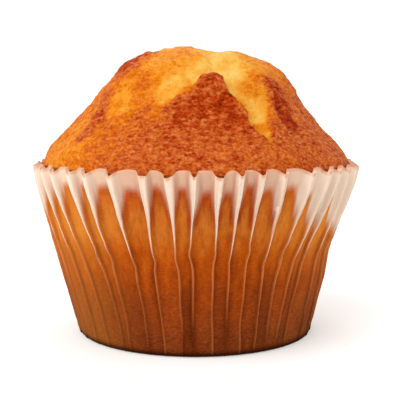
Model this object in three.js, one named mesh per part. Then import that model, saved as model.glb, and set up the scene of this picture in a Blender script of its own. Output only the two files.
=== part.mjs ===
// A muffin in its fluted paper case. Millimetres, +Z up.
// The origin is the middle of the case's flat underside, and the muffin's front faces -Y.
// Angles go round the axis from the front (-Y) towards +X.
import * as THREE from 'three';

// Paper case: a cone of flat panels that lie on the cake, with a narrow fold between each two
const CASE_HEIGHT = 37.5; // to the top of the rim's arches
const BASE_RADIUS = 25.4; // panels, carried down to the floor
const RIM_RADIUS = 33.9; // panels, at CASE_HEIGHT
const FOOT_RADIUS = 24.9; // flat underside
const FOOT_ROUND = 0.7; // height of the rounding between underside and wall
const PAPER = 0.35; // thickness, radial
const RIM_SCALLOP = 1.2; // how far the rim dips at each fold
// The folds don't run straight down, so each has an angle at the rim and one at the foot, in degrees.
const FIRST_FOLD = { rim: -64.5, foot: -52.5 };
// Angles between neighbouring folds over half the case, [at the rim, at the foot]; each adds up to 180
const HALF_PITCHES = [
  [8.9, 9.0], [10.5, 9.1], [7.5, 4.4], [9.7, 9.2], [11.0, 7.4], [8.8, 8.3], [7.6, 4.5],
  [8.0, 7.8], [7.0, 6.2], [6.9, 6.2], [8.0, 7.3], [11.1, 6.1], [8.4, 6.3], [6.6, 6.2],
  [8.2, 12.4], [9.3, 12.0], [7.9, 11.8], [8.8, 11.6], [9.6, 11.4], [7.4, 11.4], [8.8, 11.4],
];
// How far a fold has turned from its foot angle to its rim angle at each height
const FOLD_TURN = [[8, 0], [14, 0.1], [20, 0.3], [28, 0.65], [37, 1]];
// Fold size up the wall: height, how far it stands out, and half its width as a share of the pitch
const FOLD_PROFILE = [
  { z: 0.0, out: 0.6, half: 0.1 },
  { z: 10.0, out: 0.7, half: 0.1 },
  { z: 20.0, out: 0.9, half: 0.1 },
  { z: 28.0, out: 1.3, half: 0.14 },
  { z: 33.0, out: 1.5, half: 0.18 },
  { z: 37.5, out: 1.3, half: 0.21 },
];
const CREST_SHARE = 0.5; // part of a fold's width that its outer face takes
const FOLD_FOOT_DIP = 0.6; // share of the scallop at the sides of a fold
const CASE_ROWS = [3, 6, 10, 20, 28, 33]; // wall rows between the foot and the rim
const SIDE_SWAY = 0.45; // the wall's middle stands this far to the left of the axis
// Where the right side is pressed in
const PINCHES = [
  { z: 19, spread: 6, depth: 0.8 },
  { z: 7, spread: 4, depth: 0.45 },
  { z: 1, spread: 3.5, depth: 0.6 },
];

// Cake
const CAKE_GAP = 0.3; // between cake and paper
const CAKE_COLUMNS = 90;
const CAKE_SIDE_ROWS = [3, 6, 10, 20, 28];
const CROWN_RINGS = 21;
const CROWN_EDGE = 33; // radius where the crown meets the paper
const EDGE_HOLD = 4; // width of the band along the edge where the paper flattens the relief
// Outline of the crown, from the axis down to its edge
const CROWN_PROFILE = [
  [0, 60.3], [6, 60.1], [11, 59.4], [14.5, 58.1], [17.4, 56.1],
  [20.2, 52.9], [23.8, 47.9], [28.1, 43.1], [31.5, 39.5], [CROWN_EDGE, 36.6],
];
// The crown leans: its middle's offset to the right at each height
const CROWN_LEAN = [
  [37.5, 0], [40, -0.3], [43, -0.2], [47.5, 0.3], [50.5, 0.3], [54.5, 0.8], [58.5, 0.1], [62, -0.5],
];

// Where the crown burst open as it rose. Each crack runs through points of
// [x, y, half its width, depth]; its walls end in a raised lip.
const CRACKS = [
  // front left, above the front flap
  [
    [3.3, -15.6, 2.4, 1.0], [-1.9, -17.5, 2.3, 1.1], [-6.7, -19.0, 2.2, 1.0],
    [-11.5, -16.9, 2.3, 0.8], [-15.4, -17.2, 2.2, 0.8], [-18.2, -18.4, 1.4, 0.8],
    [-21.0, -20.3, 0.6, 0.2],
  ],
  // front right, between the front flap and the right one
  [
    [3.5, -10.3, 2.6, 0.6], [5.3, -15.2, 2.7, 1.2], [8.2, -18.4, 2.6, 1.6],
    [11.2, -21.0, 2.1, 1.5], [12.8, -23.1, 1.5, 1.0], [14.5, -25.8, 0.5, 0.2],
  ],
  // over the top and down the back
  [
    [3.5, -10.3, 2.6, 0.6], [3.6, -4.0, 2.6, 0.4], [3.3, 2.5, 2.4, 0.5],
    [0.5, 8.0, 2.4, 1.0], [-3.8, 12.5, 2.6, 1.4], [-7.2, 17.7, 1.8, 1.1],
    [-10.2, 23.2, 0.6, 0.2],
  ],
  // back right
  [
    [3.3, 2.5, 2.0, 0.5], [7.9, 6.9, 2.0, 1.0], [12.4, 10.0, 2.0, 1.2],
    [16.8, 13.5, 1.4, 0.9], [20.8, 17.4, 0.5, 0.2],
  ],
];
const LIP_HEIGHT = 0.45; // above the crown
const LIP_PLACE = 1.35; // distance from a crack's middle, in half widths
const LIP_SPREAD = 0.38; // in half widths

// Browned knobs, ridges and one shallow hollow: [x, y, radius, height]
const KNOBS = [
  [0.5, -19.3, 1.4, 1.1], [2.2, -19.6, 1.5, 0.9], [4.0, -19.2, 1.4, 1.0], [6.3, -21.7, 2.0, 1.1],
  [14.8, -14.6, 2.6, 0.6], [-15.6, -7.4, 2.2, 0.9], [-10.8, -5.6, 1.9, 0.8],
  [-12.4, 12.9, 3.0, 0.9], [8.1, 12.8, 3.4, 0.8], [17.6, -3.8, 3.0, 0.5],
  [-3.4, -3.0, 5.0, 1.3], [8.5, 0.0, 5.5, -1.0],
];
// Slow swellings of the whole crown: height, waves in x, waves in y (radians per mm) and phase
const SWELLS = [
  [0.3, 0.21, 0.09, 0.2], [0.25, -0.12, 0.23, 3.2], [0.2, 0.31, -0.27, 4.0],
];

// Piecewise straight reading of a table of points at t
function readTable(table, t) {
  if (t <= table[0][0]) return table[0][1];
  for (let i = 1; i < table.length; i += 1) {
    const [t0, v0] = table[i - 1];
    const [t1, v1] = table[i];
    if (t <= t1) return THREE.MathUtils.lerp(v0, v1, (t - t0) / (t1 - t0));
  }
  return table[table.length - 1][1];
}

const foldOut = FOLD_PROFILE.map(({ z, out }) => [z, out]);
const foldHalf = FOLD_PROFILE.map(({ z, half }) => [z, half]);

function around(radius, degrees) {
  const angle = THREE.MathUtils.degToRad(degrees);
  return [radius * Math.sin(angle), -radius * Math.cos(angle)];
}

// Outer face of the case's panels at a height and an angle
function panelRadius(z, degrees) {
  const toRight = Math.max(0, Math.sin(THREE.MathUtils.degToRad(degrees)));
  let radius = THREE.MathUtils.lerp(BASE_RADIUS, RIM_RADIUS, z / CASE_HEIGHT);
  for (const pinch of PINCHES) {
    radius -= pinch.depth * toRight ** 2 * Math.exp(-(((z - pinch.z) / pinch.spread) ** 2));
  }
  return radius;
}

function sway(z) {
  return -SIDE_SWAY * Math.sin((Math.PI * THREE.MathUtils.clamp(z, 0, CASE_HEIGHT)) / CASE_HEIGHT);
}

// Closed surface from rings of equal length, from the bottom up, with a point at each end
function closedStack(bottom, rings, top) {
  const columns = rings[0].length;
  const positions = [...bottom, ...rings.flat(2), ...top];
  const index = [];
  const at = (ring, column) => 1 + ring * columns + (column % columns);
  const last = 1 + rings.length * columns;
  for (let c = 0; c < columns; c += 1) {
    index.push(0, at(0, c + 1), at(0, c));
    for (let r = 0; r + 1 < rings.length; r += 1) {
      index.push(at(r, c), at(r, c + 1), at(r + 1, c));
      index.push(at(r + 1, c), at(r, c + 1), at(r + 1, c + 1));
    }
    index.push(last, at(rings.length - 1, c), at(rings.length - 1, c + 1));
  }
  const geometry = new THREE.BufferGeometry();
  geometry.setAttribute('position', new THREE.Float32BufferAttribute(positions, 3));
  geometry.setIndex(index);
  geometry.computeVertexNormals();
  return geometry;
}

// Columns of the case: the fold and pitch of each at the rim and the foot, its place beside the
// fold in half widths of the fold (or the middle of the panel), and how far it is raised and dips
function caseColumns() {
  const columns = [];
  const pitches = [...HALF_PITCHES, ...HALF_PITCHES];
  let { rim, foot } = FIRST_FOLD;
  pitches.forEach(([rimPitch, footPitch], i) => {
    const [rimBefore, footBefore] = pitches[(i + pitches.length - 1) % pitches.length];
    const left = { rim, foot, rimPitch: rimBefore, footPitch: footBefore };
    const right = { rim, foot, rimPitch, footPitch };
    const middle = { rim: rim + rimPitch / 2, foot: foot + footPitch / 2, rimPitch, footPitch };
    columns.push({ ...left, place: -1, raised: 0, dip: FOLD_FOOT_DIP });
    columns.push({ ...left, place: -CREST_SHARE, raised: 1, dip: 1 });
    columns.push({ ...right, place: CREST_SHARE, raised: 1, dip: 1 });
    columns.push({ ...right, place: 1, raised: 0, dip: FOLD_FOOT_DIP });
    columns.push({ ...middle, place: 0, raised: 0, dip: 0 });
    rim += rimPitch;
    foot += footPitch;
  });
  return columns;
}

// Angle of a column at a height
function columnAngle(column, z) {
  const turn = readTable(FOLD_TURN, z);
  const fold = THREE.MathUtils.lerp(column.foot, column.rim, turn);
  const pitch = THREE.MathUtils.lerp(column.footPitch, column.rimPitch, turn);
  return fold + column.place * readTable(foldHalf, z) * pitch;
}

// One ring of the case at height z, moved inwards by inset; rim rings dip at the folds
function caseRing(columns, z, inset, scallop = 0) {
  return columns.map((column) => {
    const height = z - scallop * column.dip;
    const angle = columnAngle(column, height);
    const radius = panelRadius(height, angle) + readTable(foldOut, height) * column.raised - inset;
    const [x, y] = around(radius, angle);
    return [x + sway(height), y, height];
  });
}

function footRing(columns, inset, z) {
  return columns.map((column) => {
    const [x, y] = around(FOOT_RADIUS - inset, columnAngle(column, 0));
    return [x, y, z];
  });
}

// The cup's skin goes in at the middle of the underside, up the outside, over the rim,
// down the inside and ends in the middle of the floor
function buildPaperCase() {
  const columns = caseColumns();
  const outside = [FOOT_ROUND, ...CASE_ROWS].map((z) => caseRing(columns, z, 0));
  const inside = [FOOT_ROUND + PAPER, ...CASE_ROWS].map((z) => caseRing(columns, z, PAPER));
  const rings = [
    footRing(columns, 0, 0),
    ...outside,
    caseRing(columns, CASE_HEIGHT, 0, RIM_SCALLOP),
    caseRing(columns, CASE_HEIGHT, PAPER, RIM_SCALLOP),
    ...inside.reverse(),
    footRing(columns, PAPER, PAPER),
  ];
  const paper = new THREE.MeshStandardMaterial({ color: 0xe6cdb4, roughness: 0.75, metalness: 0 });
  const mesh = new THREE.Mesh(closedStack([0, 0, 0], rings, [0, 0, PAPER]), paper);
  mesh.name = 'paper_case';
  return mesh;
}

// Nearest place on a crack's line: distance in half widths, and the depth there
function nearCrack(crack, x, y) {
  let best = { share: Infinity, depth: 0 };
  for (let i = 1; i < crack.length; i += 1) {
    const [x0, y0, width0, depth0] = crack[i - 1];
    const [x1, y1, width1, depth1] = crack[i];
    const along = ((x - x0) * (x1 - x0) + (y - y0) * (y1 - y0)) / ((x1 - x0) ** 2 + (y1 - y0) ** 2);
    const t = THREE.MathUtils.clamp(along, 0, 1);
    const distance = Math.hypot(x - THREE.MathUtils.lerp(x0, x1, t), y - THREE.MathUtils.lerp(y0, y1, t));
    const share = distance / THREE.MathUtils.lerp(width0, width1, t);
    if (share < best.share) best = { share, depth: THREE.MathUtils.lerp(depth0, depth1, t) };
  }
  return best;
}

// Height of the crown's relief above its smooth outline
function crownRelief(x, y) {
  let cut = 0;
  let lip = 0;
  for (const crack of CRACKS) {
    const { share, depth } = nearCrack(crack, x, y);
    cut = Math.max(cut, depth * (1 - THREE.MathUtils.smoothstep(share, 0.45, 1.1)));
    lip = Math.max(lip, LIP_HEIGHT * depth * Math.exp(-(((share - LIP_PLACE) / LIP_SPREAD) ** 2)));
  }
  let relief = lip - cut;
  for (const [knobX, knobY, radius, height] of KNOBS) {
    relief += height * Math.exp(-((x - knobX) ** 2 + (y - knobY) ** 2) / radius ** 2);
  }
  for (const [height, wavesX, wavesY, phase] of SWELLS) {
    relief += height * Math.sin(wavesX * x + wavesY * y + phase);
  }
  return relief;
}

// One ring of the crown at a plan radius; the relief fades out at the edge, where the paper holds it
function crownRing(radius) {
  const hold = THREE.MathUtils.smoothstep(CROWN_EDGE - radius, 0, EDGE_HOLD);
  const height = readTable(CROWN_PROFILE, radius);
  return Array.from({ length: CAKE_COLUMNS }, (_, c) => {
    const [x, y] = around(radius, (c * 360) / CAKE_COLUMNS);
    return [x + readTable(CROWN_LEAN, height), y, height + hold * crownRelief(x, y)];
  });
}

function cakeSideRing(z, inset = 0) {
  return Array.from({ length: CAKE_COLUMNS }, (_, c) => {
    const angle = (c * 360) / CAKE_COLUMNS;
    const [x, y] = around(panelRadius(z, angle) - PAPER - CAKE_GAP - inset, angle);
    return [x + sway(z), y, z];
  });
}

function buildCake() {
  const floor = PAPER + CAKE_GAP;
  const crown = Array.from({ length: CROWN_RINGS }, (_, ring) => {
    const share = 1 - ring / CROWN_RINGS;
    return crownRing(CROWN_EDGE * share);
  });
  const rings = [
    cakeSideRing(floor, FOOT_ROUND + CAKE_GAP),
    ...CAKE_SIDE_ROWS.map((z) => cakeSideRing(z)),
    ...crown,
  ];
  const topHeight = CROWN_PROFILE[0][1];
  const top = [readTable(CROWN_LEAN, topHeight), 0, topHeight + crownRelief(0, 0)];
  const crust = new THREE.MeshStandardMaterial({ color: 0xc8702a, roughness: 0.8, metalness: 0 });
  const mesh = new THREE.Mesh(closedStack([0, 0, floor], rings, top), crust);
  mesh.name = 'cake';
  return mesh;
}

const muffin = new THREE.Group();
muffin.name = 'muffin';
muffin.add(buildPaperCase());
muffin.add(buildCake());

export default muffin;
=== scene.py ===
"""The looks of a muffin in its fluted paper case.

Shapes are worked out in millimetres, in the row frame: +Z up, the muffin's front faces -Y, and
angles go round the axis from the front towards +X. Meshes are made in metres.
"""

import math
from itertools import product

import bpy
import numpy as np
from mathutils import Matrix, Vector


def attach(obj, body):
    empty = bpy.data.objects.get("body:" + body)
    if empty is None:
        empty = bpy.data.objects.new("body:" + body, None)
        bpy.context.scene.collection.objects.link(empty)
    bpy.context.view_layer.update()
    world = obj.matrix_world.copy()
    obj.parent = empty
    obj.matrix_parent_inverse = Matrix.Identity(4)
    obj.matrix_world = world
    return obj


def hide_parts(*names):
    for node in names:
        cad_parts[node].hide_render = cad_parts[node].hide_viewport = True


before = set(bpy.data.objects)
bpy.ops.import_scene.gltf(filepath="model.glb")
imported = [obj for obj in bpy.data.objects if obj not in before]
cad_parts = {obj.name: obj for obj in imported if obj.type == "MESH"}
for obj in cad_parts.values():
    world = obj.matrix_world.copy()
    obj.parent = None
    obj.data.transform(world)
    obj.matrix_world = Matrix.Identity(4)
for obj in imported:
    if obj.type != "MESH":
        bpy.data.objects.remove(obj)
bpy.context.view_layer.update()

MM = 0.001

# ---------------------------------------------------------------- sizes shared with the solids

CASE_HEIGHT = 37.5
BASE_RADIUS = 25.4  # where the wall, run on straight, would meet the floor
RIM_RADIUS = 33.9
FOOT_RADIUS = 24.9  # of the flat underside
FOOT_ROUND = 0.7  # height of the rounded corner at the foot
RIM_SCALLOP = 1.2  # how far the rim dips at a fold
SIDE_SWAY = 0.45  # how far the wall bends to the left half way up
# Where the case is pinched in at its right side: height, spread and depth
PINCHES = [(19.0, 6.0, 0.8), (7.0, 4.0, 0.45), (1.0, 3.5, 0.6)]
CROWN_EDGE = 33.0  # radius of the crown's edge, just inside the paper
EDGE_HOLD = 4.0  # width of the strip along the edge where the relief fades out
# Radius and height
CROWN_PROFILE = [
    (0, 60.3), (6, 60.1), (11, 59.4), (14.5, 58.1), (17.4, 56.1),
    (20.2, 52.9), (23.8, 47.9), (28.1, 43.1), (31.5, 39.5), (CROWN_EDGE, 36.6),
]
# Height, and how far the crown leans to the right there
CROWN_LEAN = [
    (37.5, 0), (40, -0.3), (43, -0.2), (47.5, 0.3), (50.5, 0.3), (54.5, 0.8), (58.5, 0.1), (62, -0.5),
]
# Points of each crack: x, y, half its width, depth
CRACKS = [
    [
        (3.3, -15.6, 2.4, 1.0), (-1.9, -17.5, 2.3, 1.1), (-6.7, -19.0, 2.2, 1.0),
        (-11.5, -16.9, 2.3, 0.8), (-15.4, -17.2, 2.2, 0.8), (-18.2, -18.4, 1.4, 0.8),
        (-21.0, -20.3, 0.6, 0.2),
    ],
    [
        (3.5, -10.3, 2.6, 0.6), (5.3, -15.2, 2.7, 1.2), (8.2, -18.4, 2.6, 1.6),
        (11.2, -21.0, 2.1, 1.5), (12.8, -23.1, 1.5, 1.0), (14.5, -25.8, 0.5, 0.2),
    ],
    [
        (3.5, -10.3, 2.6, 0.6), (3.6, -4.0, 2.6, 0.4), (3.3, 2.5, 2.4, 0.5),
        (0.5, 8.0, 2.4, 1.0), (-3.8, 12.5, 2.6, 1.4), (-7.2, 17.7, 1.8, 1.1),
        (-10.2, 23.2, 0.6, 0.2),
    ],
    [
        (3.3, 2.5, 2.0, 0.5), (7.9, 6.9, 2.0, 1.0), (12.4, 10.0, 2.0, 1.2),
        (16.8, 13.5, 1.4, 0.9), (20.8, 17.4, 0.5, 0.2),
    ],
]
# How much wider each crack fades out on the left and on the right of its line, and how much browner
# its end is
CRACK_LOOKS = [(1.0, 1.9, 0.5), (1.8, 1.0, 0.1), (1.5, 1.5, 0.3), (1.3, 1.3, 0.25)]
# Raised lips along the cracks: height beside the crack's depth, and place and spread in half widths
LIP_HEIGHT = 0.45
LIP_PLACE = 1.35
LIP_SPREAD = 0.38
# Knobs on the crust, and one hollow: x, y, radius, height
KNOBS = [
    (0.5, -19.3, 1.4, 1.1), (2.2, -19.6, 1.5, 0.9), (4.0, -19.2, 1.4, 1.0), (6.3, -21.7, 2.0, 1.1),
    (14.8, -14.6, 2.6, 0.6), (-15.6, -7.4, 2.2, 0.9), (-10.8, -5.6, 1.9, 0.8),
    (-12.4, 12.9, 3.0, 0.9), (8.1, 12.8, 3.4, 0.8), (17.6, -3.8, 3.0, 0.5),
    (-3.4, -3.0, 5.0, 1.3), (8.5, 0.0, 5.5, -1.0),
]
# Slow swellings of the crust: height, turn of the wave for each mm along x and along y, phase
SWELLS = [(0.3, 0.21, 0.09, 0.2), (0.25, -0.12, 0.23, 3.2), (0.2, 0.31, -0.27, 4.0)]

# ---------------------------------------------------------------- folds of the paper

FIRST_FOLD = (-64.5, -52.5)  # angle at the rim and at the foot
# Half the case, one row for each fold: angle to the next fold at the rim and at the foot, the fold's
# width beside the mean one, how far its notch in the rim leans (-1 steep on the left, 1 steep on the
# right), the notch's depth beside the mean one, and how the panel after it catches the light lower
# down (-1 dark, 1 light)
HALF_FOLDS = [
    (8.9, 9.0, 1.05, -1.0, 0.9, 0.2), (10.5, 9.1, 1.15, -1.0, 1.0, -0.3), (7.5, 4.4, 1.1, -1.0, 0.9, 0.4),
    (9.7, 9.2, 1.0, -1.0, 1.1, -0.5), (11.0, 7.4, 1.1, -0.8, 1.1, 0.1), (8.8, 8.3, 1.2, 0.0, 0.9, 0.3),
    (7.6, 4.5, 1.25, 0.9, 1.2, -1.0), (8.0, 7.8, 0.75, 0.0, 1.0, 0.2), (7.0, 6.2, 1.25, -0.9, 1.2, -0.6),
    (6.9, 6.2, 0.75, 0.2, 0.9, 0.4), (8.0, 7.3, 1.0, 0.3, 0.9, 0.1), (11.1, 6.1, 0.75, 0.8, 1.0, -0.8),
    (8.4, 6.3, 1.0, 1.0, 1.1, 0.0), (6.6, 6.2, 1.1, 1.0, 0.9, -0.7), (8.2, 12.4, 0.9, 1.0, 1.0, 0.2),
    (9.3, 12.0, 1.0, 0.6, 1.1, -0.4), (7.9, 11.8, 1.1, -0.5, 0.9, 0.3), (8.8, 11.6, 0.9, 0.2, 1.1, -0.3),
    (9.6, 11.4, 1.15, 0.8, 1.0, 0.2), (7.4, 11.4, 0.85, -0.7, 0.9, -0.5), (8.8, 11.4, 1.0, 0.4, 1.0, 0.1),
]
# By height: share of the turn from a fold's foot to its rim, how far it stands out, and half its width
# in degrees
FOLD_TURN = [(8, 0), (14, 0.1), (20, 0.3), (28, 0.65), (37, 1)]
FOLD_OUT = [(0, 0.3), (10, 0.45), (18, 0.7), (24, 1.1), (29, 1.4), (34, 1.5), (37.5, 1.25)]
FOLD_HALF = [
    (0, 0.52), (8, 0.48), (16, 0.46), (20, 0.4), (25, 0.42), (28, 0.56), (30, 0.74), (33.5, 1.12),
    (37.5, 1.4),
]
DART_END = (19.5, 22.5)  # lowest and highest place where an open fold closes to a ridge
# Paper that lies on the cake is wet with fat, and reaches up each panel as a finger
FINGER_TOP = (33.6, 34.9)  # lowest and highest top of a finger
# How much lower the finger's edge is away from its middle: share of the panel's half width, drop
FINGER_ARCH = [
    (0, 0), (0.45, 0.15), (0.62, 0.5), (0.79, 1.2), (0.88, 2.0), (1, 3.6), (1.3, 4.8), (2.3, 10),
]
FINGER_RADIUS = 31.0  # radius of the wall at the fingers
WALL_RADIUS = 30.0  # mean radius of the whole wall
TONE_HEIGHT = 33.5  # height where the wet paper's tone reaches TONE_TOP
TONE_TOP = 0.85
PAPER = 0.13


def read_table(table, t):
    xs, ys = np.array(table, float).T
    return np.interp(t, xs, ys)


def smooth_read(table, t):
    """Smooth reading of a table that never overshoots its points."""
    xs, ys = np.array(table, float).T
    steps = np.diff(xs)
    slopes = np.diff(ys) / steps
    inner = np.where(
        slopes[1:] * slopes[:-1] > 0,
        2 * slopes[1:] * slopes[:-1] / (slopes[1:] + slopes[:-1] + 1e-12),
        0,
    )
    ends = np.concatenate([slopes[:1], inner, slopes[-1:]])
    i = np.clip(np.searchsorted(xs, t, side="right") - 1, 0, len(xs) - 2)
    u = np.clip((t - xs[i]) / steps[i], 0, 1)
    h = steps[i]
    return (
        ys[i] * (1 + 2 * u) * (1 - u) ** 2
        + h * ends[i] * u * (1 - u) ** 2
        + ys[i + 1] * u * u * (3 - 2 * u)
        + h * ends[i + 1] * u * u * (u - 1)
    )


def smoothstep(low, high, t):
    u = np.clip((t - low) / (high - low), 0, 1)
    return u * u * (3 - 2 * u)


def lerp(a, b, t):
    return a + (b - a) * t


def soft_max(a, b):
    """The larger of two numbers above 0, rounded where they are equal."""
    return (a ** 6 + b ** 6) ** (1 / 6)


class Noise:
    """Smooth gradient noise, about -1 to 1, on a seeded lattice."""

    SIZE = 32

    def __init__(self, seed):
        rng = np.random.default_rng(seed)
        lattice = rng.normal(size=(self.SIZE,) * 3 + (3,))
        self.lattice = lattice / np.linalg.norm(lattice, axis=-1, keepdims=True)

    def __call__(self, points, wave):
        """Noise at points in mm; wave is a wave's length in mm, one number or one for each axis."""
        p = points / np.asarray(wave, float)
        cell = np.floor(p).astype(int)
        part = p - cell
        fade = part ** 3 * (part * (part * 6 - 15) + 10)
        total = np.zeros(p.shape[:-1])
        for corner in product((0, 1), repeat=3):
            at = (cell + corner) % self.SIZE
            gradient = self.lattice[at[..., 0], at[..., 1], at[..., 2]]
            weight = np.prod(np.where(corner, fade, 1 - fade), axis=-1)
            total += weight * np.sum(gradient * (part - corner), axis=-1)
        return total * 1.7


def around(radius, degrees):
    angle = np.radians(degrees)
    return radius * np.sin(angle), -radius * np.cos(angle)


def panel_radius(z, degrees):
    to_right = np.maximum(0, np.sin(np.radians(degrees)))
    pinch = sum(depth * np.exp(-(((z - height) / spread) ** 2)) for height, spread, depth in PINCHES)
    return lerp(BASE_RADIUS, RIM_RADIUS, z / CASE_HEIGHT) - pinch * to_right ** 2


def sway(z):
    return -SIDE_SWAY * np.sin(np.pi * np.clip(z, 0, CASE_HEIGHT) / CASE_HEIGHT)


def new_piece(name, points, faces, material, attributes):
    """Closed smooth mesh from points in mm, with one float on each point for every attribute."""
    mesh = bpy.data.meshes.new(name)
    mesh.from_pydata((points * MM).tolist(), [], faces)
    mesh.update()
    mesh.polygons.foreach_set("use_smooth", np.ones(len(mesh.polygons), bool))
    for key, values in attributes.items():
        layer = mesh.attributes.new(key, "FLOAT", "POINT")
        layer.data.foreach_set("value", np.clip(values, 0, 1).astype(np.float32))
    mesh.materials.append(material)
    piece = bpy.data.objects.new(name, mesh)
    bpy.context.scene.collection.objects.link(piece)
    return piece


# ---------------------------------------------------------------- node materials

# How much brighter than its own colour each surface comes out, and the white that its gloss adds
CRUST_LIGHT = 1.24
PAPER_LIGHT = 1.2
GLOSS = 0.004


def seen(red, green, blue, gain):
    """Linear colour that looks like these sRGB values where the light makes it gain times as bright."""
    channels = [c / 255 for c in (red, green, blue)]
    linear = [c / 12.92 if c <= 0.04045 else ((c + 0.055) / 1.055) ** 2.4 for c in channels]
    return tuple(max(c - GLOSS, 0) / gain for c in linear) + (1.0,)


def crust_colour(red, green, blue):
    return seen(red, green, blue, CRUST_LIGHT)


def paper_colour(red, green, blue):
    return seen(red, green, blue, PAPER_LIGHT)


class Nodes:
    """Short ways to build a material's node tree."""

    def __init__(self, name):
        self.material = bpy.data.materials.new(name)
        self.material.use_nodes = True
        self.tree = self.material.node_tree
        self.shader = self.tree.nodes["Principled BSDF"]
        self.place = self.tree.nodes.new("ShaderNodeTexCoord").outputs["Object"]

    def link(self, source, target):
        self.tree.links.new(source, target)

    def attribute(self, name):
        node = self.tree.nodes.new("ShaderNodeAttribute")
        node.attribute_name = name
        return node.outputs["Fac"]

    def noise(self, wave_mm, detail=3.0, roughness=0.55, stretch=(1, 1, 1)):
        mapping = self.tree.nodes.new("ShaderNodeMapping")
        mapping.inputs["Scale"].default_value = stretch
        self.link(self.place, mapping.inputs["Vector"])
        node = self.tree.nodes.new("ShaderNodeTexNoise")
        node.inputs["Scale"].default_value = 1 / (wave_mm * MM)
        node.inputs["Detail"].default_value = detail
        node.inputs["Roughness"].default_value = roughness
        self.link(mapping.outputs["Vector"], node.inputs["Vector"])
        return node.outputs["Fac"]

    def math(self, operation, a, b, clamp=False):
        node = self.tree.nodes.new("ShaderNodeMath")
        node.operation = operation
        node.use_clamp = clamp
        for socket, value in zip(node.inputs, (a, b)):
            if isinstance(value, (int, float)):
                socket.default_value = value
            else:
                self.link(value, socket)
        return node.outputs[0]

    def spread(self, value, low, high, to_low=0.0, to_high=1.0):
        node = self.tree.nodes.new("ShaderNodeMapRange")
        node.inputs["From Min"].default_value = low
        node.inputs["From Max"].default_value = high
        node.inputs["To Min"].default_value = to_low
        node.inputs["To Max"].default_value = to_high
        self.link(value, node.inputs["Value"])
        return node.outputs["Result"]

    def ramp(self, value, stops):
        node = self.tree.nodes.new("ShaderNodeValToRGB")
        elements = node.color_ramp.elements
        while len(elements) < len(stops):
            elements.new(0.5)
        for element, (position, colour) in zip(elements, stops):
            element.position = position
            element.color = colour
        self.link(value, node.inputs["Fac"])
        return node.outputs["Color"]

    def mix(self, factor, a, b, blend="MIX"):
        node = self.tree.nodes.new("ShaderNodeMix")
        node.data_type = "RGBA"
        node.blend_type = blend
        sockets = {s.identifier: s for s in node.inputs}
        for key, value in (("Factor_Float", factor), ("A_Color", a), ("B_Color", b)):
            if isinstance(value, bpy.types.NodeSocket):
                self.link(value, sockets[key])
            else:
                sockets[key].default_value = value
        return {s.identifier: s for s in node.outputs}["Result_Color"]

    def bump(self, height, distance_mm, under=None):
        node = self.tree.nodes.new("ShaderNodeBump")
        node.inputs["Strength"].default_value = 1.0
        node.inputs["Distance"].default_value = distance_mm * MM
        self.link(height, node.inputs["Height"])
        if under is not None:
            self.link(under, node.inputs["Normal"])
        return node.outputs["Normal"]


def crust_material():
    nodes = Nodes("crust")
    bake = nodes.attribute("bake")
    mottle = nodes.noise(3.0, detail=4.0)
    wrinkle = nodes.noise(1.3, detail=3.0, roughness=0.6, stretch=(1, 1, 1.9))
    grain = nodes.noise(0.62, detail=3.0, roughness=0.6, stretch=(1, 1, 1.4))
    crusty = nodes.spread(bake, 0.2, 0.65, 0.25, 1.0)
    coarse_relief = nodes.spread(wrinkle, 0.3, 0.7, -0.45, 0.45)
    fine_relief = nodes.spread(grain, 0.3, 0.7, -0.55, 0.55)
    relief = nodes.math("MULTIPLY", nodes.math("ADD", coarse_relief, fine_relief), crusty)
    toned = nodes.math("ADD", bake, nodes.spread(mottle, 0.3, 0.7, -0.06, 0.06))
    # painted light and shade: the relief's tops come out paler and its hollows browner
    toned = nodes.math("ADD", toned, nodes.spread(relief, -1, 1, 0.1, -0.1), clamp=True)
    colour = nodes.ramp(
        toned,
        [
            (0.0, crust_colour(250, 206, 112)),
            (0.12, crust_colour(249, 190, 86)),
            (0.3, crust_colour(243, 161, 50)),
            (0.42, crust_colour(235, 139, 28)),
            (0.52, crust_colour(224, 115, 14)),
            (0.6, crust_colour(213, 102, 28)),
            (0.72, crust_colour(199, 91, 37)),
            (0.84, crust_colour(180, 59, 8)),
            (0.92, crust_colour(158, 49, 8)),
            (1.0, crust_colour(112, 36, 14)),
        ],
    )
    # painted shade: dimples are darker; painted highlight: the tops of the grains get lighter flecks
    dimple_shade = nodes.spread(relief, -0.05, -0.6, 0.0, 0.85)
    colour = nodes.mix(dimple_shade, colour, (0.66, 0.42, 0.12, 1), "MULTIPLY")
    burnt = nodes.spread(bake, 0.74, 0.86)
    painted_glint = nodes.mix(burnt, crust_colour(240, 157, 96), crust_colour(212, 88, 22))
    colour = nodes.mix(nodes.spread(relief, 0.05, 0.6, 0.0, 0.5), colour, painted_glint)
    nodes.link(colour, nodes.shader.inputs["Base Color"])
    nodes.shader.inputs["Specular IOR Level"].default_value = 0.03
    nodes.link(nodes.spread(grain, 0.3, 0.7, 0.6, 0.4), nodes.shader.inputs["Roughness"])
    coarse = nodes.bump(wrinkle, 0.45)
    fine = nodes.bump(grain, 0.35, under=coarse)
    nodes.link(fine, nodes.shader.inputs["Normal"])
    nodes.shader.inputs["Subsurface Weight"].default_value = 0.1
    nodes.shader.inputs["Subsurface Radius"].default_value = (1.0, 0.45, 0.2)
    nodes.shader.inputs["Subsurface Scale"].default_value = 1.0 * MM
    return nodes.material


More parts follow.
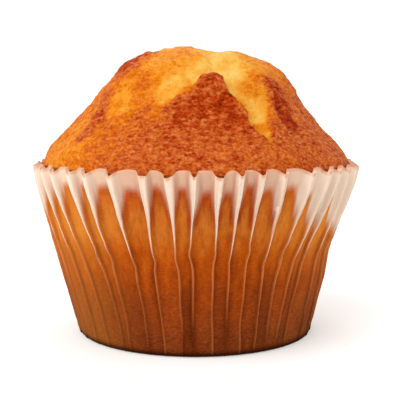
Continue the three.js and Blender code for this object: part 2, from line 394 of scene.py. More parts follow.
def paper_material():
    nodes = Nodes("paper")
    contact = nodes.attribute("contact")
    level = nodes.attribute("level")
    shade = nodes.attribute("shade")
    crest = nodes.attribute("crest")
    near = nodes.attribute("near")
    edge = nodes.attribute("edge")
    pale = nodes.attribute("pale")
    blotch = nodes.noise(2.4, detail=4.0, stretch=(1, 1, 0.45))
    streak = nodes.noise(0.9, detail=3.0, stretch=(1, 1, 0.3))
    fibre = nodes.noise(0.5, detail=4.0, stretch=(0.7, 0.7, 2.2))
    uneven = nodes.spread(blotch, 0.3, 0.7, -0.1, 0.1)
    uneven = nodes.math("MULTIPLY", uneven, nodes.spread(level, 0.0, 0.12))
    level = nodes.math("ADD", level, uneven, clamp=True)
    # wet paper, darker towards the foot
    soaked = nodes.ramp(
        level,
        [
            (0.0, paper_colour(102, 44, 21)),
            (0.15, paper_colour(125, 53, 24)),
            (0.26, paper_colour(141, 57, 20)),
            (0.39, paper_colour(160, 64, 14)),
            (0.53, paper_colour(182, 79, 14)),
            (0.64, paper_colour(198, 106, 34)),
            (0.73, paper_colour(203, 114, 42)),
            (0.82, paper_colour(190, 96, 34)),
            (0.92, paper_colour(184, 80, 26)),
            (1.0, paper_colour(178, 72, 24)),
        ],
    )
    soaked = nodes.mix(nodes.spread(fibre, 0.4, 0.75, 0.0, 0.3), soaked, paper_colour(214, 122, 48))
    soaked = nodes.mix(nodes.spread(streak, 0.45, 0.8, 0.0, 0.5), soaked, paper_colour(120, 42, 6))
    # painted shade beside the folds and on the panels turned away from the light
    soaked = nodes.mix(shade, soaked, paper_colour(92, 30, 4))
    # painted light: the case's sides, seen edge on, are lighter, most of all low down on the left
    soaked = nodes.mix(nodes.spread(pale, 0, 1, 0.0, 0.3), soaked, paper_colour(247, 166, 62))
    # dry paper, duller where the cake lies close behind it
    dry = nodes.mix(near, paper_colour(240, 218, 198), paper_colour(218, 175, 148))
    dry = nodes.mix(nodes.spread(streak, 0.4, 0.75, 0.0, 0.2), dry, paper_colour(206, 162, 136))
    # painted light on the sides of the dry paper too
    dry = nodes.mix(nodes.spread(pale, 0, 1, 0.0, 0.55), dry, paper_colour(246, 228, 208))
    dry = nodes.mix(edge, dry, paper_colour(228, 170, 138))
    colour = nodes.mix(contact, dry, soaked)
    # painted highlights along the ridges and the corners of the open folds
    crease_highlight_colour = nodes.mix(contact, paper_colour(252, 226, 200), paper_colour(228, 138, 78))
    colour = nodes.mix(crest, colour, crease_highlight_colour)
    # painted shade where the paper meets the floor
    foot = nodes.spread(nodes.attribute("foot"), 0.0, 1.0, 0.0, 0.9)
    colour = nodes.mix(foot, colour, paper_colour(36, 12, 4))
    nodes.link(colour, nodes.shader.inputs["Base Color"])
    nodes.shader.inputs["Specular IOR Level"].default_value = 0.03
    nodes.shader.inputs["Roughness"].default_value = 0.7
    nodes.link(nodes.bump(fibre, 0.1), nodes.shader.inputs["Normal"])
    # painted light: the inner faces near the rim glow, standing in for light through the thin paper
    lit_through = nodes.mix(nodes.attribute("inner"), (0.0, 0.0, 0.0, 1), (0.85, 0.62, 0.48, 1))
    nodes.link(lit_through, nodes.shader.inputs["Emission Color"])
    nodes.shader.inputs["Emission Strength"].default_value = 0.35
    return nodes.material


def floor_material():
    nodes = Nodes("floor_white")
    speck = nodes.noise(3.0, detail=2.0)
    pale = nodes.ramp(speck, [(0.0, (0.75, 0.75, 0.79, 1)), (1.0, (0.77, 0.77, 0.81, 1))])
    nodes.link(pale, nodes.shader.inputs["Base Color"])
    nodes.shader.inputs["Roughness"].default_value = 0.9
    nodes.shader.inputs["Specular IOR Level"].default_value = 0.0
    nodes.shader.inputs["Emission Color"].default_value = (1.0, 0.99, 0.82, 1)
    nodes.shader.inputs["Emission Strength"].default_value = 0.26
    return nodes.material


# ---------------------------------------------------------------- cake

GRID = 280  # cells along a side of the crown's grid
SLOPE_STEPS = 2000
CAKE_FLOOR = 0.6
CAKE_FLOOR_RADIUS = FOOT_RADIUS - 1.2
WALL_BAKE = 0.7
FLOOR_BAKE = 0.8
# Rows of the cake's wall: height, gap to the paper, and how far it follows the paper into the folds
CAKE_WALL_ROWS = [
    (36.0, 0.12, 0.45), (35.3, 0.12, 0.4), (34.4, 0.12, 0.3), (33.0, 0.15, 0.2), (30.0, 0.2, 0.0),
    (25.0, 0.35, 0.0), (20.0, 0.5, 0.0), (14.0, 0.5, 0.0), (7.0, 0.5, 0.0), (1.4, 0.5, 0.0),
]

# How far each part of the crown is baked, from 0, pale crumb, to 1, burnt: x, y, radius, bake,
# strength. Areas lie under the pale crumb of the cracks.
BAKED_AREAS = [
    # left side, lighter than the front
    (-28.7, -11.9, 11, 0.45, 0.95), (-23.6, -18.7, 7, 0.5, 0.9), (-25.1, 3.9, 12, 0.48, 0.9),
    (-17.4, -21.3, 5, 0.56, 0.7), (-26.9, -16.9, 6, 0.42, 0.8), (-14.5, -24.5, 5, 0.61, 0.7),
    (-13.4, -21.4, 2.8, 0.56, 0.7), (-10.2, -20.4, 1.6, 0.66, 0.8),
    # humps at the top
    (-6.9, -7.9, 10, 0.3, 0.9), (-11.4, -12.4, 7, 0.34, 0.8), (9.7, -7.7, 8, 0.3, 0.9),
    (0.0, 4.0, 14, 0.4, 0.7), (-2.5, -10.8, 2.2, 0.46, 0.6), (-6.2, -14.9, 2, 0.42, 0.6),
    (-4.5, -8.4, 1.8, 0.46, 0.5), (7.2, -11.1, 2.4, 0.18, 0.8), (11.0, -8.6, 1.8, 0.44, 0.6),
    (9.3, -12.5, 2.0, 0.22, 0.7),
    # round the burnt lip and the knob at the back left
    (-14.0, -4.0, 5.5, 0.6, 0.8), (-17.5, -1.0, 4, 0.56, 0.6), (-13.0, 12.5, 5, 0.68, 0.8),
    # front flap, browned more at its edge
    (1.0, -25.5, 5.5, 0.76, 0.6), (4.6, -25.1, 2.8, 0.82, 0.8), (10.3, -25.2, 1.9, 0.8, 0.7),
    (2.3, -22.7, 2.6, 0.82, 0.8), (-3.1, -23.3, 3.0, 0.8, 0.8), (-11.1, -21.8, 3.2, 0.62, 0.6),
    (-7.7, -22.0, 1.6, 0.5, 0.7),
    # right flap
    (11.9, -11.4, 3.0, 0.38, 0.8), (19.7, -11.6, 3, 0.62, 0.7), (12.7, -17.5, 2.2, 0.3, 0.8),
    (23.3, -14.5, 5, 0.67, 0.7), (27.2, -7.8, 8, 0.68, 0.8), (24.2, 7.7, 10, 0.62, 0.8),
    # back
    (-9.5, 13.3, 5, 0.72, 0.7), (8.6, 13.3, 5, 0.74, 0.7), (-21.3, 17.4, 8, 0.55, 0.8),
    (7.8, 26.2, 7, 0.72, 0.8), (-1.9, 23.1, 6, 0.6, 0.7), (16.5, 20.3, 4, 0.8, 0.7),
    (-13.0, 12.8, 2, 0.88, 0.8), (8.9, 12.0, 2, 0.86, 0.8),
]
# Spots lie on everything, also on the crumb, and are as wide down the slope as across it.
BAKED_SPOTS = [
    # orange tongues in the wide crack
    (-11.2, -15.0, 3.0, 0.57, 0.85), (-9.0, -16.6, 2.2, 0.5, 0.8), (-12.8, -16.4, 2.4, 0.55, 0.8),
    (-15.0, -12.6, 2.6, 0.5, 0.8), (-18.0, -12.0, 2.2, 0.5, 0.7), (-5.5, -14.9, 2.4, 0.4, 0.6),
    (-17.4, -15.3, 2.2, 0.42, 0.8), (-15.2, -15.8, 2.2, 0.41, 0.8), (-10.2, -17.2, 1.9, 0.46, 0.8),
    # where the wide crack's floor meets the front flap
    (-12.0, -18.6, 1.8, 0.52, 0.8), (-10.4, -18.5, 1.8, 0.52, 0.8), (-12.8, -19.4, 1.6, 0.6, 0.7),
    (-15.6, -19.0, 1.8, 0.56, 0.7), (-17.6, -18.6, 1.8, 0.58, 0.7), (-19.4, -16.0, 1.8, 0.7, 0.9),
    (-2.2, -19.9, 1.9, 0.48, 0.85),
    # the right crack, palest at its top and stained half way down
    (1.7, -14.7, 2.0, 0.06, 0.7), (9.4, -16.9, 2.1, 0.52, 0.9), (11.3, -16.6, 2.0, 0.48, 0.8),
    (9.0, -21.9, 1.3, 0.3, 0.7), (12.4, -22.6, 1.7, 0.5, 0.8),
    # burnt lip at the top left, orange below it
    (-16.6, -10.4, 2.0, 0.52, 0.8), (-18.4, -10.8, 1.9, 0.54, 0.7), (-12.0, -8.2, 2.4, 0.64, 0.85),
    (-11.4, -9.8, 2.2, 0.52, 0.8), (-16.4, -8.8, 1.8, 0.7, 0.8), (-14.8, -9.2, 2.1, 0.83, 0.95),
    (-13.4, -10.1, 2.1, 0.78, 0.95), (-13.8, -7.6, 2.3, 0.8, 1.0), (-15.5, -7.8, 2.2, 0.86, 1.0),
    (-9.9, -5.8, 2.2, 0.8, 0.9), (-13.0, -5.8, 2.0, 0.86, 0.9), (-15.6, -5.6, 2.0, 0.86, 0.95),
    # dark crease at the left
    (-18.9, -10.8, 2.0, 0.6, 0.85), (-19.1, -12.6, 1.9, 0.74, 0.9), (-19.4, -14.3, 1.8, 0.8, 0.95),
    (-19.6, -15.9, 1.8, 0.8, 0.95), (-20.9, -16.9, 1.7, 0.72, 0.9), (-22.4, -17.8, 1.8, 0.76, 0.9),
    # knob and the lump beside it
    (1.3, -19.3, 2.3, 0.77, 1.0), (3.4, -19.0, 2.2, 0.84, 1.0), (6.4, -21.5, 3.1, 0.88, 1.0),
    (8.2, -21.0, 1.6, 0.86, 0.9), (8.4, -24.0, 2.4, 0.88, 0.9), (-1.9, -19.6, 1.5, 0.42, 0.9),
    # dark streak beside the right crack
    (14.6, -13.8, 2.2, 0.84, 0.9), (15.9, -13.4, 2.2, 0.87, 0.95), (16.7, -14.6, 2.2, 0.84, 0.9),
    (17.1, -16.0, 2.6, 0.86, 0.95), (17.5, -17.4, 2.8, 0.88, 0.95), (18.4, -18.2, 2.6, 0.89, 0.95),
]
BAKE_FRONT = 0.71  # where no area or spot lies
BAKE_CRACK = 0.02  # the palest crumb


def near_crack(crack, look, x, y):
    """Distance to a crack in half widths, and its depth, fading width and browning there."""
    nearest = np.full(x.shape, np.inf)
    depth = np.zeros(x.shape)
    side = np.zeros(x.shape)
    travel = np.zeros(x.shape)
    for step, ((x0, y0, width0, depth0), (x1, y1, width1, depth1)) in enumerate(zip(crack, crack[1:])):
        along = ((x - x0) * (x1 - x0) + (y - y0) * (y1 - y0)) / ((x1 - x0) ** 2 + (y1 - y0) ** 2)
        t = np.clip(along, 0, 1)
        distance = np.hypot(x - lerp(x0, x1, t), y - lerp(y0, y1, t))
        share = distance / lerp(width0, width1, t)
        closer = share < nearest
        turn = ((x1 - x0) * (y - y0) - (y1 - y0) * (x - x0)) / np.hypot(x1 - x0, y1 - y0)
        turn /= np.maximum(distance, 0.05)
        nearest = np.where(closer, share, nearest)
        depth = np.where(closer, lerp(depth0, depth1, t), depth)
        side = np.where(closer, turn, side)
        travel = np.where(closer, (step + t) / (len(crack) - 1), travel)
    fade_left, fade_right, brown_end = look
    wide = lerp(fade_right, fade_left, smoothstep(-1, 1, side))
    return nearest / wide, depth, wide, brown_end * travel ** 1.5


def crown_grid():
    """Places in plan of a square grid laid over the round crown, its rings even down the slope."""
    side = np.linspace(-1, 1, GRID + 1)
    a, b = np.meshgrid(side, side, indexing="ij")
    ring = np.maximum(np.abs(a), np.abs(b))
    safe = np.where(ring == 0, 1, ring)
    eighth = np.pi / 4
    from_x = np.where(a < 0, np.pi - eighth * b / safe, eighth * b / safe)
    from_y = np.where(b < 0, -np.pi / 2 + eighth * a / safe, np.pi / 2 - eighth * a / safe)
    angle = np.where(np.abs(a) >= np.abs(b), from_x, from_y)
    radii = np.linspace(0, CROWN_EDGE, SLOPE_STEPS)
    heights = smooth_read(CROWN_PROFILE, radii)
    length = np.concatenate([[0], np.cumsum(np.hypot(np.diff(radii), np.diff(heights)))])
    radius = np.interp(ring, length / length[-1], radii)
    return radius * np.cos(angle), radius * np.sin(angle), radius


def open_cracks(x, y):
    """Relief of the cracks and their lips, how open the crumb is, and how brown it is."""
    cut = np.zeros_like(x)
    lip = np.zeros_like(x)
    open_crumb = np.zeros_like(x)
    brown = np.ones_like(x)
    for crack, look in zip(CRACKS, CRACK_LOOKS):
        share, depth, wide, browner = near_crack(crack, look, x, y)
        cut = soft_max(cut, depth * (1 - smoothstep(0.5 / wide, 1.08, share)))
        raised = LIP_HEIGHT * depth * np.exp(-(((share - LIP_PLACE) / LIP_SPREAD) ** 2)) / wide ** 2
        lip = soft_max(lip, raised)
        paled = 1 - smoothstep(0.6 / wide, lerp(1.5, 1.12, np.clip((wide - 1) / 0.9, 0, 1)), share)
        open_crumb = np.minimum(soft_max(open_crumb, paled * np.clip(depth * 1.4, 0, 1)), 1)
        brown = np.where(share < 1.5, np.minimum(brown, browner), brown)
    return lip - cut, open_crumb, brown


def crown_surface():
    """The crown's points, and how far each is baked."""
    x, y, radius = crown_grid()
    waves = [Noise(seed) for seed in range(11, 18)]
    plan = np.stack([x, y, np.zeros_like(x)], -1)
    warp_x = 0.8 * waves[0](plan, 4.5) + 0.45 * waves[1](plan, 1.9) + 0.2 * waves[5](plan, 0.9)
    warp_y = 0.8 * waves[2](plan, 4.5) + 0.45 * waves[3](plan, 1.9) + 0.2 * waves[6](plan, 0.9)
    hold = smoothstep(0, EDGE_HOLD, CROWN_EDGE - radius)

    relief, open_crumb, brown = open_cracks(x + warp_x, y + warp_y)
    for knob_x, knob_y, size, height in KNOBS:
        relief += height * np.exp(-((x - knob_x) ** 2 + (y - knob_y) ** 2) / size ** 2)
    for height, waves_x, waves_y, phase in SWELLS:
        relief += height * np.sin(waves_x * x + waves_y * y + phase)

    smooth = smooth_read(CROWN_PROFILE, radius)
    points = np.stack([x + read_table(CROWN_LEAN, smooth), y, smooth + hold * relief], -1)
    normal = np.cross(np.gradient(points, axis=0), np.gradient(points, axis=1))
    normal /= np.linalg.norm(normal, axis=-1, keepdims=True) + 1e-12

    # fine relief: soft lumps, most of all in the crumb, and the crust's wrinkles and grains
    crusty = 1 - 0.6 * open_crumb
    lumps = 0.16 * waves[4](points, 5.0) + 0.12 * waves[5](points, 2.4)
    lumps += open_crumb * (0.35 * waves[0](points, 3.4) + 0.2 * waves[2](points, 1.8))
    drift = np.stack([waves[3](points, 2.4), waves[2](points, 2.4), waves[0](points, 2.4)], -1)
    bent = points + 0.5 * drift
    wrinkles = 1 - 2 * np.abs(waves[6](bent, (2.0, 2.0, 0.9)))
    grains = waves[1](bent, (1.0, 1.0, 0.65))
    fine = crusty * (0.14 * wrinkles + 0.13 * grains)
    points = points + normal * (lumps * hold + fine * (0.4 + 0.6 * hold))[..., None]

    bake = np.full_like(x, BAKE_FRONT)
    for area_x, area_y, size, value, strength in BAKED_AREAS:
        distance = ((x + warp_x - area_x) ** 2 + (y + warp_y - area_y) ** 2) / size ** 2
        bake = lerp(bake, value, strength * np.exp(-distance ** 1.5))
    crumb = BAKE_CRACK + np.minimum(brown, 0.5)
    crumb += 0.22 * waves[0](plan, 3.4) + 0.1 * waves[3](plan, 1.6)
    bake = lerp(bake, crumb, 0.8 * open_crumb * (1 - smoothstep(0.73, 0.82, bake)))
    for spot_x, spot_y, size, value, strength in BAKED_SPOTS:
        off_x = x + 0.6 * warp_x - spot_x
        off_y = y + 0.6 * warp_y - spot_y
        fall = smooth - smooth_read(CROWN_PROFILE, np.hypot(spot_x, spot_y))
        distance = (off_x ** 2 + off_y ** 2 + fall ** 2) / size ** 2
        bake = lerp(bake, value, strength * np.exp(-distance ** 2))
    bake += 0.06 * waves[4](plan, 3.1) + 0.05 * waves[5](plan, 1.5)
    # painted light and shade: the tops of the wrinkles and grains are paler, their hollows browner
    bake -= crusty * (0.1 * grains + 0.08 * (wrinkles - 0.4))
    return points, bake


def edge_loop():
    """Grid places along the crown's edge, once round."""
    last = GRID
    loop = [(last, j) for j in range(0, last)]
    loop += [(i, last) for i in range(last, 0, -1)]
    loop += [(0, j) for j in range(last, 0, -1)]
    loop += [(i, 0) for i in range(0, last)]
    return loop


def build_cake(case):
    crown, bake = crown_surface()
    width = GRID + 1
    loop = edge_loop()
    edge = np.array([crown[i, j] for i, j in loop])
    degrees = np.degrees(np.arctan2(edge[:, 0], -edge[:, 1]))

    rows = []
    for z, gap, follow in CAKE_WALL_ROWS:
        panel = panel_radius(z, degrees) - PAPER
        x, y = around(lerp(panel, case.inside(z, degrees), follow) - gap, degrees)
        rows.append((np.stack([x + sway(z), y, np.full(len(x), z)], -1), WALL_BAKE))
    x, y = around(CAKE_FLOOR_RADIUS, degrees)
    rows.append((np.stack([x, y, np.full(len(x), CAKE_FLOOR)], -1), FLOOR_BAKE))

    points = [crown.reshape(-1, 3)]
    baked = [bake.reshape(-1)]
    faces = [
        (i * width + j, (i + 1) * width + j, (i + 1) * width + j + 1, i * width + j + 1)
        for i in range(GRID)
        for j in range(GRID)
    ]
    ring = [i * width + j for i, j in loop]
    count = width * width
    for row, row_bake in rows:
        points.append(row)
        baked.append(np.full(len(row), row_bake))
        below = list(range(count, count + len(row)))
        faces += [(ring[k], below[k], below[k - 1], ring[k - 1]) for k in range(len(row))]
        ring = below
        count += len(row)
    points.append(np.array([[0, 0, CAKE_FLOOR]]))
    baked.append(np.array([FLOOR_BAKE]))
    faces += [(ring[k], count, ring[k - 1]) for k in range(len(ring))]
    values = {"bake": np.concatenate(baked)}
    return new_piece("muffin_cake", np.concatenate(points), faces, crust_material(), values)


# ---------------------------------------------------------------- paper case

# Where the paper's columns stand: across each fold, in half widths of it, and across the panel after it
FOLD_PLACES = [
    -1.5, -1.22, -1.02, -0.88, -0.76, -0.64, -0.34, 0.0, 0.34, 0.64, 0.76, 0.88, 1.02, 1.22, 1.5,
]
PANEL_PLACES = [(k + 1) / 10 for k in range(9)]
OUTER_ROWS = sorted(
    {0.08, 0.25, 0.45, FOOT_ROUND, 1.1, 1.6}
    | {round(2.2 + 0.85 * k, 3) for k in range(18)}
    | {round(17.4 + 0.55 * k, 3) for k in range(28)}
    | {33.0, 33.6, 34.2, 34.8, 35.3, 35.8, 36.3, 36.7, 37.1, CASE_HEIGHT}
)
INNER_ROWS = [
    37.0, 36.3, 35.3, 34.0, 32.5, 31.0, 29.0, 27.0, 25.0, 23.0, 21.5, 20.0, 18.0, 15.0, 12.0, 9.0,
    6.0, 3.5, 1.6, FOOT_ROUND + PAPER,
]
# Radii of the rings that close the bottom, below and above the paper
UNDERSIDE_RINGS = (12.0, 20.0)
INSIDE_RINGS = (23.0, 12.0)


def shoulder(slant):
    """Share of the scallop by which the rim dips beside a notch; slant is 1 on its gentle side."""
    return lerp(0.12, 0.5, np.clip(slant, 0, 1))


def foot_contact_shade(z):
    """Painted contact shade: how dark the paper is close above the floor."""
    return smoothstep(1.6, 0.3, z)


class Case:
    """Columns of the paper, once round: which fold each follows and where it is beside it."""

    def __init__(self):
        rng = np.random.default_rng(5)
        folds = HALF_FOLDS * 2
        count = len(folds)
        rim, foot, width, self.slant, self.notch, self.light_catch = np.array(folds).T
        self.rim = FIRST_FOLD[0] + np.concatenate([[0], np.cumsum(rim)[:-1]])
        self.foot = FIRST_FOLD[1] + np.concatenate([[0], np.cumsum(foot)[:-1]])
        self.width = width * rng.uniform(0.94, 1.06, count)
        self.height = rng.uniform(0.85, 1.15, count)
        self.dart_end = rng.uniform(*DART_END, count)
        self.kink = rng.choice([-1, 1], count) * rng.uniform(0.3, 0.9, count)
        self.lean = rng.uniform(-0.3, 0.3, count)

        # at the sides the paper stands free of the cake further down, most of all at the right
        to_right = np.sin(np.radians(self.rim + 4))
        side_right = smoothstep(0.45, 0.6, to_right)
        side_left = smoothstep(0.2, 0.7, -to_right)
        stands_free = 2.2 * smoothstep(0.58, 0.7, to_right) + 5 * smoothstep(0.82, 0.97, to_right)
        stands_free += 3 * smoothstep(0.9, 1, -to_right)
        self.finger_top = rng.uniform(*FINGER_TOP, count) - stands_free + 0.6 * side_left
        self.finger_place = rng.uniform(-0.15, 0.15, count) - 0.4 * side_right
        self.finger_width = rng.uniform(0.92, 1.08, count) * (1 + 0.2 * side_left - 0.16 * side_right)
        self.bulge = rng.uniform(0.12, 0.35, count)
        self.ridge_end = rng.uniform(-5, 7, count)
        # how strong the painted shade beside each fold is, and whether it lies on the fold's right side
        self.shaded = rng.uniform(0.15, 0.6, count) + 0.25 * side_left
        self.shaded_right = rng.random(count) < np.where(np.sin(np.radians(self.rim)) < 0.1, 0.9, 0.4)
        self.count = count
        self.noise = Noise(31)

        # each column's fold, its place in the fold, and its place in the panel or -1 in a fold
        self.fold = np.repeat(np.arange(count), len(FOLD_PLACES) + len(PANEL_PLACES))
        self.place = np.tile(FOLD_PLACES + [0.0] * len(PANEL_PLACES), count)
        self.panel = np.tile([-1.0] * len(FOLD_PLACES) + PANEL_PLACES, count)
        self.in_panel = self.panel >= 0

    def fold_angle(self, i, z):
        """Angle of fold i at height z; i may run on past the last fold."""
        lap, i = i // self.count, i % self.count
        angle = lerp(self.foot[i], self.rim[i], read_table(FOLD_TURN, z))
        near_end = np.exp(-(((z - self.dart_end[i] + 1.0) / 1.3) ** 2))
        marks = np.stack([i * 7.3, np.full(i.shape, 0.5), np.full(i.shape, z)], -1)
        wander = 0.6 * self.noise(marks, (1.0, 1.0, 8.0)) * smoothstep(37, 30, z)
        return angle + 360 * lap + self.kink[i] * near_end + wander

    def fold_half(self, i, z):
        """Half the width of fold i at height z, in degrees."""
        i = i % self.count
        later = sum(DART_END) / 2 - self.dart_end[i]
        shifted = z + later * smoothstep(8, 20, z) * smoothstep(37, 24, z)
        return read_table(FOLD_HALF, shifted) * lerp(1, self.width[i], smoothstep(18, 28, z))

    def ring(self, z, inset=0.0, rim=0.0):
        """Points of the columns at height z, moved inwards by inset, and their looks.

        rim is 1 where they follow the scalloped rim, and 0 where they stay level.
        """
        i = self.fold
        t = self.place
        here, here_half = self.fold_angle(i, z), self.fold_half(i, z)
        after, after_half = self.fold_angle(i + 1, z), self.fold_half(i + 1, z)
        reach = FOLD_PLACES[-1]
        start, end = here + reach * here_half, after - reach * after_half
        v = np.where(self.in_panel, self.panel, 0)
        angle = np.where(self.in_panel, lerp(start, end, v), here + t * here_half)

        # cross-section of the fold: an open box near the rim, a sharp ridge lower down
        away = np.abs(t)
        box = np.clip(1 - (away - 0.62) / 0.75, 0, 1) ** 1.4
        box -= 0.15 * np.clip(1 - (away / 0.6) ** 2, 0, 1)
        ridge = np.clip(1 - away / 1.25, 0, 1) ** 1.3
        closed = 1 - smoothstep(self.dart_end[i] - 3, self.dart_end[i] + 6, z)
        rise = np.where(self.in_panel, 0, lerp(box, ridge, closed))
        out = read_table(FOLD_OUT, z) * self.height[i] * rise
        dome = np.where(self.in_panel, np.sin(np.pi * v) ** 0.8, 0)
        swell = self.bulge[i] * dome * smoothstep(-4, 14, z)
        swell += self.turned(v) * smoothstep(27, 17, z) * smoothstep(0.5, 4, z)

        # the rim dips at every fold and lies lower at the sides, and the paper under it with it
        dip = np.where(self.in_panel, self.panel_dip(v), self.fold_dip(t))
        lift = 0.4 - 0.9 * np.sin(np.radians(angle)) ** 4
        height = z + rim * (lift - RIM_SCALLOP * dip) * smoothstep(27, CASE_HEIGHT, z)

        radius = panel_radius(z, angle) + out + swell - inset
        lean_angle = self.lean[i] * rise * here_half
        x, y = around(radius, angle + lean_angle)
        at = np.stack([x, y, np.full_like(x, z)], -1)
        rough = self.noise(at, (3.0, 3.0, 1.1)) * (1 + smoothstep(5, 2, z))
        rough += 0.5 * self.noise(at, (1.2, 1.2, 0.6))
        stretch = 1 + (0.06 * rough * smoothstep(0.5, 3, z)) / radius
        points = np.stack([x * stretch + sway(z), y * stretch, height], -1)
        return points, self.looks(z, angle, here, after, here_half, after_half, closed)

    def turned(self, v):
        """How far the panels stand out because they are turned to the light or away from it."""
        light_catch = self.light_catch[self.fold]
        light_catch_before = self.light_catch[self.fold - 1]
        left = 0.18 * light_catch_before - 0.1 * np.maximum(0, -light_catch_before)
        right = -0.18 * light_catch - 0.1 * np.maximum(0, -light_catch)
        in_fold = lerp(left, right, smoothstep(-1.3, 1.3, self.place))
        in_panel = 0.18 * light_catch * (2 * v - 1) - 0.1 * np.maximum(0, -light_catch)
        return np.where(self.in_panel, in_panel, in_fold)

    def fold_dip(self, t):
        """How far the rim dips over a fold, as a share of the scallop."""
        slant, notch = self.slant[self.fold], self.notch[self.fold]
        floor = notch * (1 - 0.45 * np.clip(slant * t, 0, 1))
        outside = np.where(t < 0, shoulder(slant), shoulder(-slant))
        start = np.where(self.width[self.fold] > 1.15, 0.7, 0.25)
        return lerp(floor, outside, smoothstep(start, 1.45, np.abs(t)))

    def panel_dip(self, v):
        """How far the rim dips over a panel, which is domed and lower beside a leaning notch."""
        slant = self.slant[self.fold]
        next_slant = self.slant[(self.fold + 1) % self.count]
        start = shoulder(-slant) * np.clip(1 - v / 0.7, 0, 1) ** 1.6
        end = shoulder(next_slant) * np.clip(1 - (1 - v) / 0.7, 0, 1) ** 1.6
        return start + end

    def inside(self, z, degrees):
        """Radius of the paper's inner face at height z at each angle."""
        points, _ = self.ring(z, inset=PAPER)
        x, y = points[:, 0] - sway(z), points[:, 1]
        angle, radius = np.degrees(np.arctan2(x, -y)), np.hypot(x, y)
        order = np.argsort(angle)
        return np.interp(degrees, angle[order], radius[order], period=360)

    def looks(self, z, angle, here, after, here_half, after_half, closed):
        """Where the paper touches the cake, how high it is, and the folds' painted highlights and shade.
        """
        i = self.fold
        next_fold = i + 1
        # columns left of a fold's middle belong to the panel before it
        before = ~self.in_panel & (self.place < 0)
        owner = np.where(before, i - 1, i)
        previous, previous_half = self.fold_angle(i - 1, z), self.fold_half(i - 1, z)
        middle = np.where(before, (previous + here) / 2, (here + after) / 2)
        half_panel = np.where(
            before,
            (here - previous) / 2 - (here_half + previous_half) / 2,
            (after - here) / 2 - (here_half + after_half) / 2,
        )

        # the finger of wet paper on the panel; over a fold it ends where the fold opens
        u = np.abs((angle - middle) / half_panel - self.finger_place[owner] * smoothstep(20, 30, z))
        sideways = np.minimum(u / self.finger_width[owner], FINGER_ARCH[-1][0])
        arch = self.finger_top[owner] - smooth_read(FINGER_ARCH, sideways)
        nearest = np.where(self.in_panel & (self.panel > 0.5), next_fold % self.count, i)
        over = np.clip(1 - np.abs(self.place), 0, 1) * ~self.in_panel
        arch = lerp(arch, self.dart_end[nearest] + 1.0, np.minimum(over * 1.4, 1))
        at = np.stack([*around(WALL_RADIUS, angle), np.full_like(angle, z)], -1)
        ragged = 0.4 * self.noise(at, (1.3, 1.3, 4.0)) + 0.3 * self.noise(at, 5.0)
        slope = 12 * smoothstep(0.3, 0.85, sideways) / (np.radians(half_panel) * FINGER_RADIUS)
        deep = (arch - z + ragged) / np.hypot(1, slope)
        soft = lerp(1.1, 0.4, np.minimum(sideways, 1))
        contact = smoothstep(-soft, soft, deep)

        # the wet paper's tone goes up with height, and once more just inside a finger's edge
        light_catch = self.light_catch[owner]
        cap = np.exp(-np.maximum(deep - 0.9, 0) / 1.1) * smoothstep(24, 29, z)
        # painted light and shade: lower down, panels that catch the light are lighter and those turned
        # away darker
        patches = 0.04 * self.noise(at, (5, 5, 9)) + 0.08 * light_catch * smoothstep(20, 12, z)
        level = TONE_TOP * z / TONE_HEIGHT + 0.2 * cap + patches * smoothstep(0, 3, z)

        # painted highlights on the ridges and the open folds' corners, and painted shade on the folds'
        # dark sides
        ridge = np.exp(-((self.place / 0.8) ** 2)) * ~self.in_panel
        ridge *= closed * lerp(0.3, 0.85, smoothstep(9, 20, z))
        ridge *= smoothstep(self.ridge_end[i], self.ridge_end[i] + 6, z)
        crease_highlights = np.exp(-(((np.abs(self.place) - 0.7) / 0.16) ** 2)) * ~self.in_panel
        crest = np.maximum(ridge, crease_highlights * (1 - closed) * lerp(0.8, 0.6, smoothstep(24, 34, z)))
        shade = np.maximum.reduce([
            self.beside(i, angle - here, ~before, True),
            self.beside(i, here - angle, before, False),
            self.beside(next_fold, after - angle, self.in_panel, False),
        ])
        # panels turned away from the light get painted shade lower down
        painted_panel_shade = 0.42 * np.maximum(-light_catch, 0) * smoothstep(21, 10, z)
        shade = np.maximum(shade * smoothstep(25, 19, z), painted_panel_shade)
        # painted light: the paper is lighter towards the case's sides, more so low down on the left
        to_right = np.sin(np.radians(angle))
        low = lerp(0.42, 0.1, smoothstep(-0.2, 0.2, to_right))
        pale = smoothstep(0.3, 0.85, np.abs(to_right)) * lerp(low, 1, smoothstep(14, 26, z))
        return {
            "contact": contact,
            "level": level,
            "crest": crest,
            "shade": shade * (1 - ridge),
            "near": smoothstep(1.35, 0.75, u),
            "edge": np.full_like(angle, smoothstep(36.7, 37.2, z)),
            "pale": pale,
            "foot": np.full_like(angle, foot_contact_shade(z)),
        }

    def beside(self, i, away, wanted, right):
        """Painted shade on the right or the left side of fold i, away degrees from it, where wanted."""
        i = i % self.count
        dark = self.shaded[i] * np.exp(-((np.maximum(away, 0) / 2.2) ** 1.5))
        return np.where(wanted & (self.shaded_right[i] == right), dark, 0)


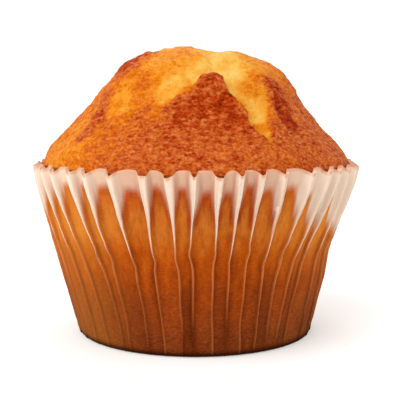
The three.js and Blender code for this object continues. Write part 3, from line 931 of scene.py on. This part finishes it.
def build_case(case):
    rings, looks = [], []

    def add(points, look, inner=0.0):
        rings.append(points)
        looks.append(look | {"inner": np.full(len(points), inner)})

    def flat_ring(radius, z):
        points, look = case.ring(FOOT_ROUND)
        flat = points[:, :2] / np.linalg.norm(points[:, :2], axis=1, keepdims=True) * radius
        return np.column_stack([flat, np.full(len(flat), z)]), look

    for radius in UNDERSIDE_RINGS:
        add(*flat_ring(radius, 0.0))
    for z in OUTER_ROWS:
        if z < FOOT_ROUND:
            # the rounded corner at the foot, a quarter circle
            share = math.sqrt(1 - (1 - z / FOOT_ROUND) ** 2)
            points, look = case.ring(FOOT_ROUND)
            look["foot"] = np.full(len(points), foot_contact_shade(z))
            low, _ = flat_ring(FOOT_RADIUS, 0.0)
            plan = lerp(low[:, :2], points[:, :2], share)
            add(np.column_stack([plan, np.full(len(plan), z)]), look)
        else:
            add(*case.ring(z, rim=1.0))
    add(*case.ring(CASE_HEIGHT, inset=PAPER, rim=1.0))
    for z in INNER_ROWS:
        # inner faces near the rim get the painted glow
        add(*case.ring(z, inset=PAPER, rim=1.0), smoothstep(27, 33, z))
    for radius in INSIDE_RINGS:
        add(*flat_ring(radius, PAPER))

    columns = len(case.fold)
    points = np.concatenate(rings + [np.array([[0, 0, 0], [0, 0, PAPER]])])
    values = {
        key: np.concatenate([look[key] for look in looks] + [np.zeros(2)]) for key in looks[0]
    }
    faces = []
    for r in range(len(rings) - 1):
        for c in range(columns):
            after = (c + 1) % columns
            faces.append((
                r * columns + c, r * columns + after, (r + 1) * columns + after, (r + 1) * columns + c,
            ))
    bottom, top = len(points) - 2, len(points) - 1
    last = (len(rings) - 1) * columns
    for c in range(columns):
        after = (c + 1) % columns
        faces.append((bottom, after, c))
        faces.append((top, last + c, last + after))
    return new_piece("muffin_paper_case", points, faces, paper_material(), values)


# ---------------------------------------------------------------- the muffin

case = Case()
cake = build_cake(case)
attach(cake, "root")
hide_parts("cake")

paper_case = build_case(case)
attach(paper_case, "root")
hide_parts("paper_case")

# ---------------------------------------------------------------- floor, light and camera

FLOOR_HALF = 3.0
FLOOR_TOP = -0.00005
WORLD_LIGHT = 0.55
BACKDROP = 1.05
CAMERA_PLACE = (0.00083, -0.22, 0.05524)
CAMERA_DOWN = 7.008  # degrees

floor_mesh = bpy.data.meshes.new("floor")
corners = [
    (FLOOR_HALF * x, FLOOR_HALF * y, FLOOR_TOP) for x, y in ((-1, -1), (1, -1), (1, 1), (-1, 1))
]
floor_mesh.from_pydata(corners, [], [(0, 1, 2, 3)])
floor_mesh.materials.append(floor_material())
floor = bpy.data.objects.new("floor", floor_mesh)
bpy.context.scene.collection.objects.link(floor)

world = bpy.data.worlds.new("studio")
world.use_nodes = True
tree = world.node_tree
tree.nodes.clear()
output = tree.nodes.new("ShaderNodeOutputWorld")
mixer = tree.nodes.new("ShaderNodeMixShader")
rays = tree.nodes.new("ShaderNodeLightPath")
backgrounds = [((1.0, 0.99, 0.97, 1), WORLD_LIGHT), ((1, 1, 1, 1), BACKDROP)]
for slot, (colour, strength) in enumerate(backgrounds, start=1):
    background = tree.nodes.new("ShaderNodeBackground")
    background.inputs["Color"].default_value = colour
    background.inputs["Strength"].default_value = strength
    tree.links.new(background.outputs[0], mixer.inputs[slot])
tree.links.new(rays.outputs["Is Camera Ray"], mixer.inputs[0])
tree.links.new(mixer.outputs[0], output.inputs["Surface"])
bpy.context.scene.world = world

# Wide soft lights, far away: the direction each comes from, its strength, width in degrees and colour
LIGHTS = [
    ("key", (-0.75, -0.75, 1.0), 1.6, 60, (1.0, 0.99, 0.97)),
    ("top", (0.25, 0.1, 1.0), 0.35, 80, (1.0, 1.0, 1.0)),
    ("back", (0.0, 1.0, 0.8), 1.0, 60, (1.0, 1.0, 1.0)),
    ("front", (0.3, -1.0, 0.35), 0.35, 80, (1.0, 1.0, 1.0)),
    ("left", (-1.0, -0.3, 0.15), 1.3, 80, (1.0, 1.0, 1.0)),
    ("right", (1.0, -0.3, 0.15), 1.1, 80, (1.0, 1.0, 1.0)),
]
for name, direction, strength, width, colour in LIGHTS:
    lamp = bpy.data.lights.new(name, "SUN")
    lamp.energy = strength
    lamp.angle = math.radians(width)
    lamp.color = colour
    holder = bpy.data.objects.new(name, lamp)
    holder.rotation_euler = Vector(direction).to_track_quat("Z", "Y").to_euler()
    bpy.context.scene.collection.objects.link(holder)

camera = bpy.data.cameras.new("camera")
camera.lens = 91.2
camera.sensor_width = 36.0
camera.clip_start = 0.01
camera_object = bpy.data.objects.new("camera", camera)
camera_object.location = CAMERA_PLACE
camera_object.rotation_euler = (math.radians(90 - CAMERA_DOWN), 0, 0)
bpy.context.scene.collection.objects.link(camera_object)
bpy.context.scene.camera = camera_object
bpy.context.scene.view_settings.view_transform = "Standard"
